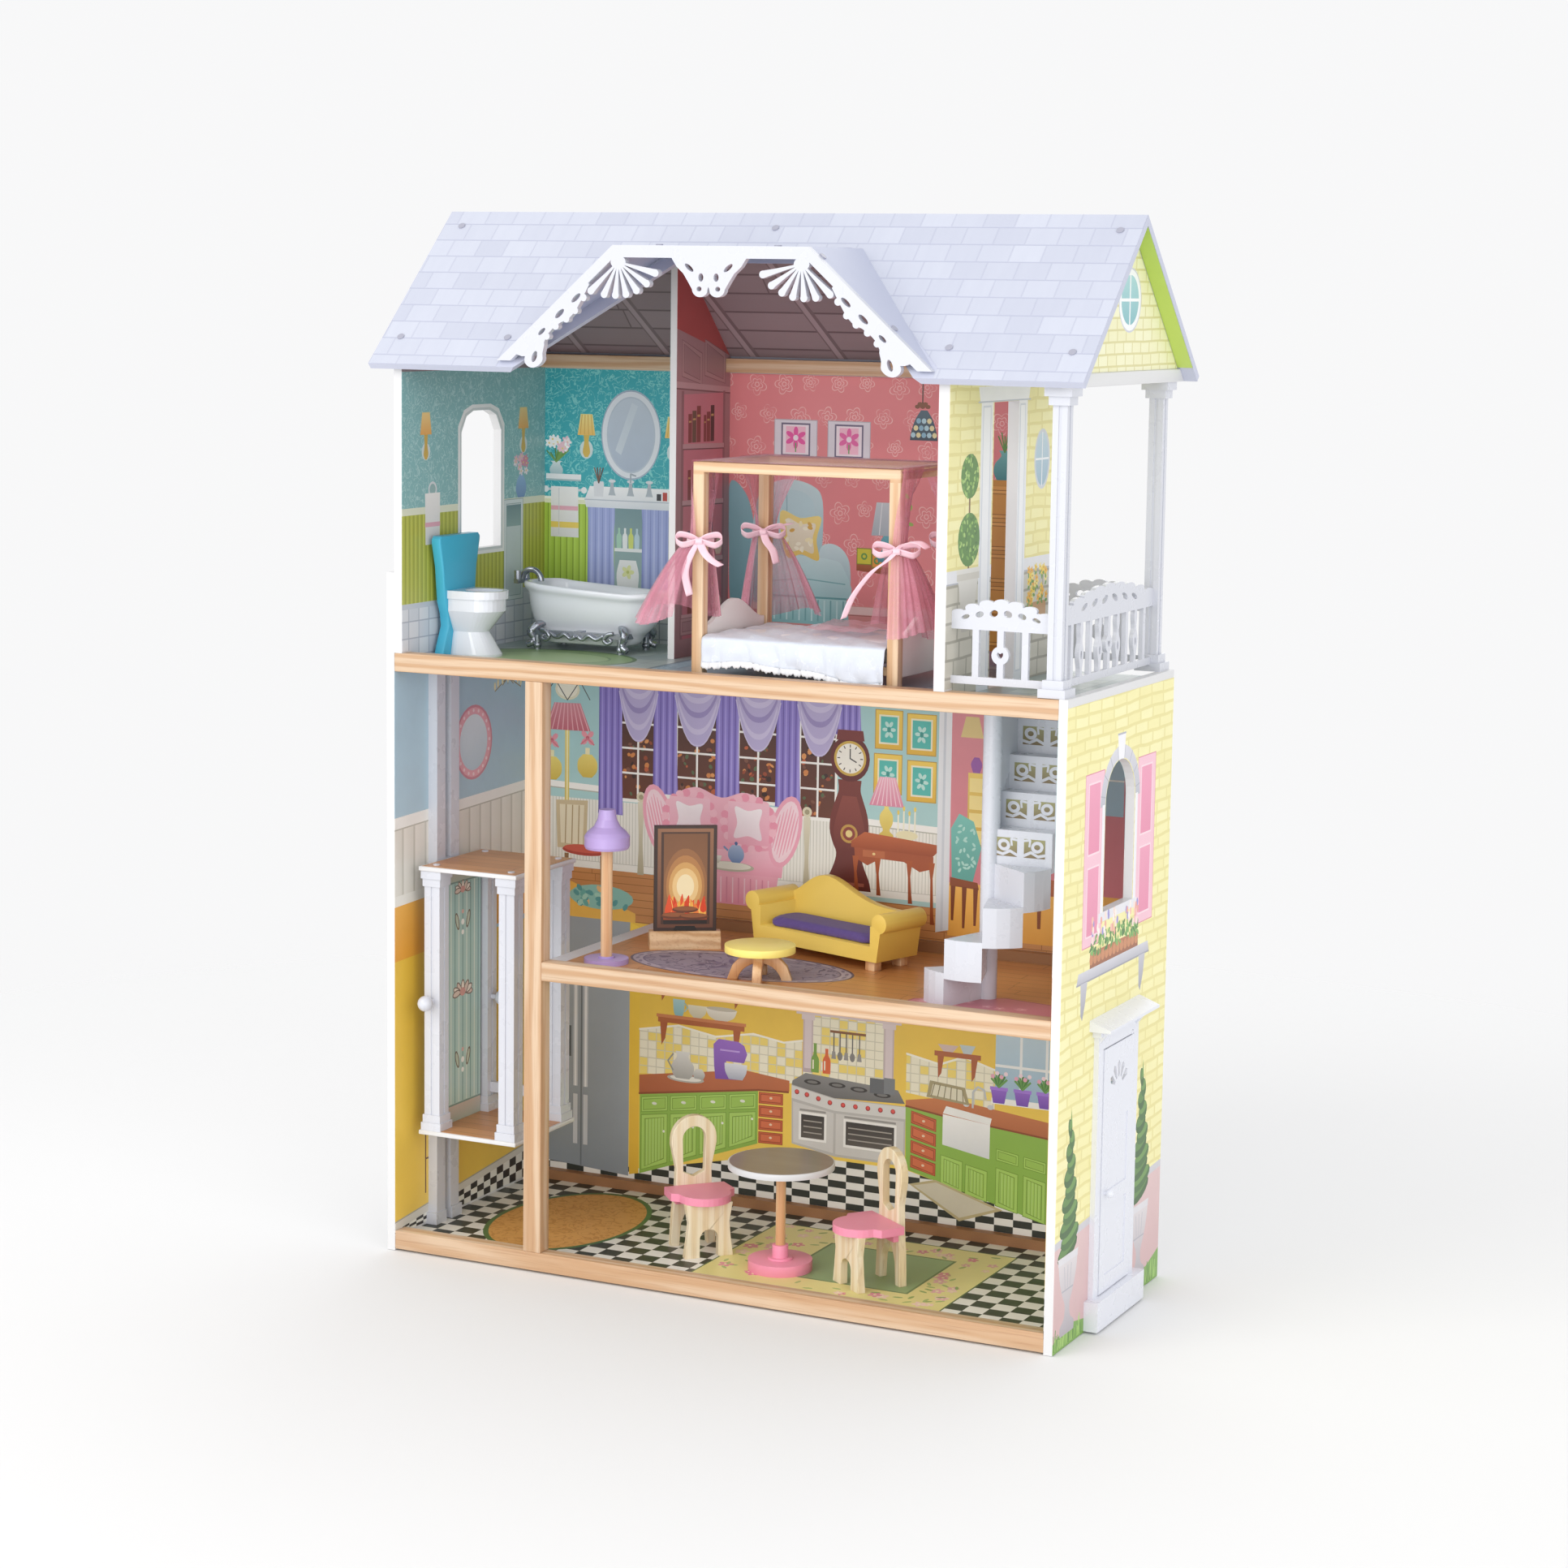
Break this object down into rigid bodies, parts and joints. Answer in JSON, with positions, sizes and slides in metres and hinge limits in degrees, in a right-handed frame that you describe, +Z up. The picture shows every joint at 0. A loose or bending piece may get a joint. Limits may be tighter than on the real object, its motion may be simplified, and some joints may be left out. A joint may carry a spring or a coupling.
{
  "type": "dollhouse",
  "caption": "Tall open-front wooden dollhouse with a gabled roof, dormer, balcony, sliding lift, hinged front door, winding stair and loose furniture.",
  "frame": {"origin": "on the ground under the middle of the house, on the underside of the bearer below the ground floor", "axes": "+X to the right along the open front, +Y to the back, +Z up"},
  "size_m": [0.854, 0.352, 1.18],
  "materials": {
    "white_board": "satin white paint on board",
    "brick_print": "printed paper on board, satin",
    "kitchen_print": "printed paper on board, satin",
    "living_print": "printed paper on board, satin",
    "upper_print": "printed paper on board, satin",
    "divider_print": "printed paper on board, satin",
    "checker_print": "printed black and white checks, satin",
    "parquet_print": "printed boards, satin",
    "tile_print": "printed tiles, satin",
    "pine": "clear varnish",
    "batten_wood": "stained",
    "roof_print": "printed shingles, satin",
    "dormer_plastic": "moulded, matt",
    "white_plastic": "moulded, glossy",
    "screw_cap": "moulded, glossy",
    "car_board": "painted brown with white edges",
    "car_columns": "white paint",
    "car_panel": "printed panel, satin",
    "teal_board": "satin paint",
    "ceramic_white": "moulded, glossy",
    "silver_plastic": "bright plated",
    "bed_wood": "clear varnish",
    "bed_white": "satin paint",
    "spread_fabric": "white satin with lace",
    "tulle_fabric": "sheer rose tulle",
    "purple_plastic": "satin",
    "lamp_wood": "clear varnish",
    "fire_print": "printed panel with white edges",
    "fire_wood": "clear varnish",
    "sofa_yellow": "moulded, satin",
    "cushion_purple": "woven",
    "feet_wood": "clear varnish",
    "table_yellow": "satin paint",
    "table_legs_wood": "clear varnish",
    "dining_top": "printed top with a white rim",
    "dining_stem_wood": "clear varnish",
    "dining_pink": "satin paint",
    "chair_wood": "clear varnish",
    "seat_pink": "satin paint"
  },
  "bodies": {
    "house": {"left_wall_lower": "white_board", "left_wall_upper": "white_board", "right_wall": "brick_print", "back_panel_lower": "kitchen_print", "back_panel_middle": "living_print", "back_panel_upper": "upper_print", "ground_floor": "checker_print", "second_floor": "parquet_print", "third_floor": "tile_print", "front_rails": "pine", "front_post": "pine", "floor_battens": "batten_wood", "rear_roof_beam": "pine", "room_divider": "divider_print", "balcony_wall": "brick_print", "roof_front": "roof_print", "roof_back": "roof_print", "gable_right": "brick_print", "dormer_cover": "dormer_plastic", "gable_trim": "white_plastic", "balcony_lintel": "white_board", "balcony_columns": "white_plastic", "balcony_end_railings": "white_plastic", "balcony_side_railing": "white_plastic", "elevator_track": "white_plastic", "door_surround": "white_plastic", "roof_screws": "screw_cap", "staircase": "white_plastic"},
    "elevator_car": {"elevator_floor": "car_board", "elevator_roof": "car_board", "elevator_columns": "car_columns", "elevator_side_panel": "car_panel", "elevator_pegs": "white_plastic"},
    "front_door": {"door_leaf": "white_plastic", "door_knob": "white_plastic"},
    "toilet": {"toilet_back": "teal_board", "toilet_bowl": "ceramic_white"},
    "bathtub": {"bathtub_shell": "ceramic_white", "bathtub_fittings": "silver_plastic"},
    "canopy_bed": {"bed_frame": "bed_wood", "bed_end_boards": "bed_white", "bed_mattress": "spread_fabric", "bed_curtains": "tulle_fabric"},
    "floor_lamp": {"lamp_shade": "purple_plastic", "lamp_stem": "lamp_wood", "lamp_base": "purple_plastic"},
    "fireplace": {"fireplace_panel": "fire_print", "fireplace_base": "fire_wood"},
    "sofa": {"sofa_body": "sofa_yellow", "sofa_cushion": "cushion_purple", "sofa_feet": "feet_wood"},
    "coffee_table": {"coffee_table_top": "table_yellow", "coffee_table_legs": "table_legs_wood"},
    "dining_table": {"dining_table_top": "dining_top", "dining_table_stem": "dining_stem_wood", "dining_table_base": "dining_pink"},
    "left_chair": {"chair_left_frame": "chair_wood", "chair_left_seat": "seat_pink"},
    "right_chair": {"chair_right_frame": "chair_wood", "chair_right_seat": "seat_pink"}
  },
  "joints": [
    {"name": "elevator_travel", "type": "slide", "parent": "house", "child": "elevator_car", "axis": [0, 0, 1], "range_m": [-0.116, 0.209]},
    {"name": "front_door_swing", "type": "hinge", "parent": "house", "child": "front_door", "pos_m": [0.413, 0.043, 0], "axis": [0, 0, 1], "range_deg": [0, 100]},
    {"name": "toilet_lift", "type": "slide", "parent": "house", "child": "toilet", "axis": [0, 0, 1], "range_m": [0, 0.04]},
    {"name": "bathtub_lift", "type": "slide", "parent": "house", "child": "bathtub", "axis": [0, 0, 1], "range_m": [0, 0.04]},
    {"name": "canopy_bed_lift", "type": "slide", "parent": "house", "child": "canopy_bed", "axis": [0, 0, 1], "range_m": [0, 0.04]},
    {"name": "floor_lamp_lift", "type": "slide", "parent": "house", "child": "floor_lamp", "axis": [0, 0, 1], "range_m": [0, 0.04]},
    {"name": "fireplace_lift", "type": "slide", "parent": "house", "child": "fireplace", "axis": [0, 0, 1], "range_m": [0, 0.04]},
    {"name": "sofa_lift", "type": "slide", "parent": "house", "child": "sofa", "axis": [0, 0, 1], "range_m": [0, 0.04]},
    {"name": "coffee_table_lift", "type": "slide", "parent": "house", "child": "coffee_table", "axis": [0, 0, 1], "range_m": [0, 0.04]},
    {"name": "dining_table_lift", "type": "slide", "parent": "house", "child": "dining_table", "axis": [0, 0, 1], "range_m": [0, 0.04]},
    {"name": "left_chair_lift", "type": "slide", "parent": "house", "child": "left_chair", "axis": [0, 0, 1], "range_m": [0, 0.04]},
    {"name": "right_chair_lift", "type": "slide", "parent": "house", "child": "right_chair", "axis": [0, 0, 1], "range_m": [0, 0.04]}
  ]
}
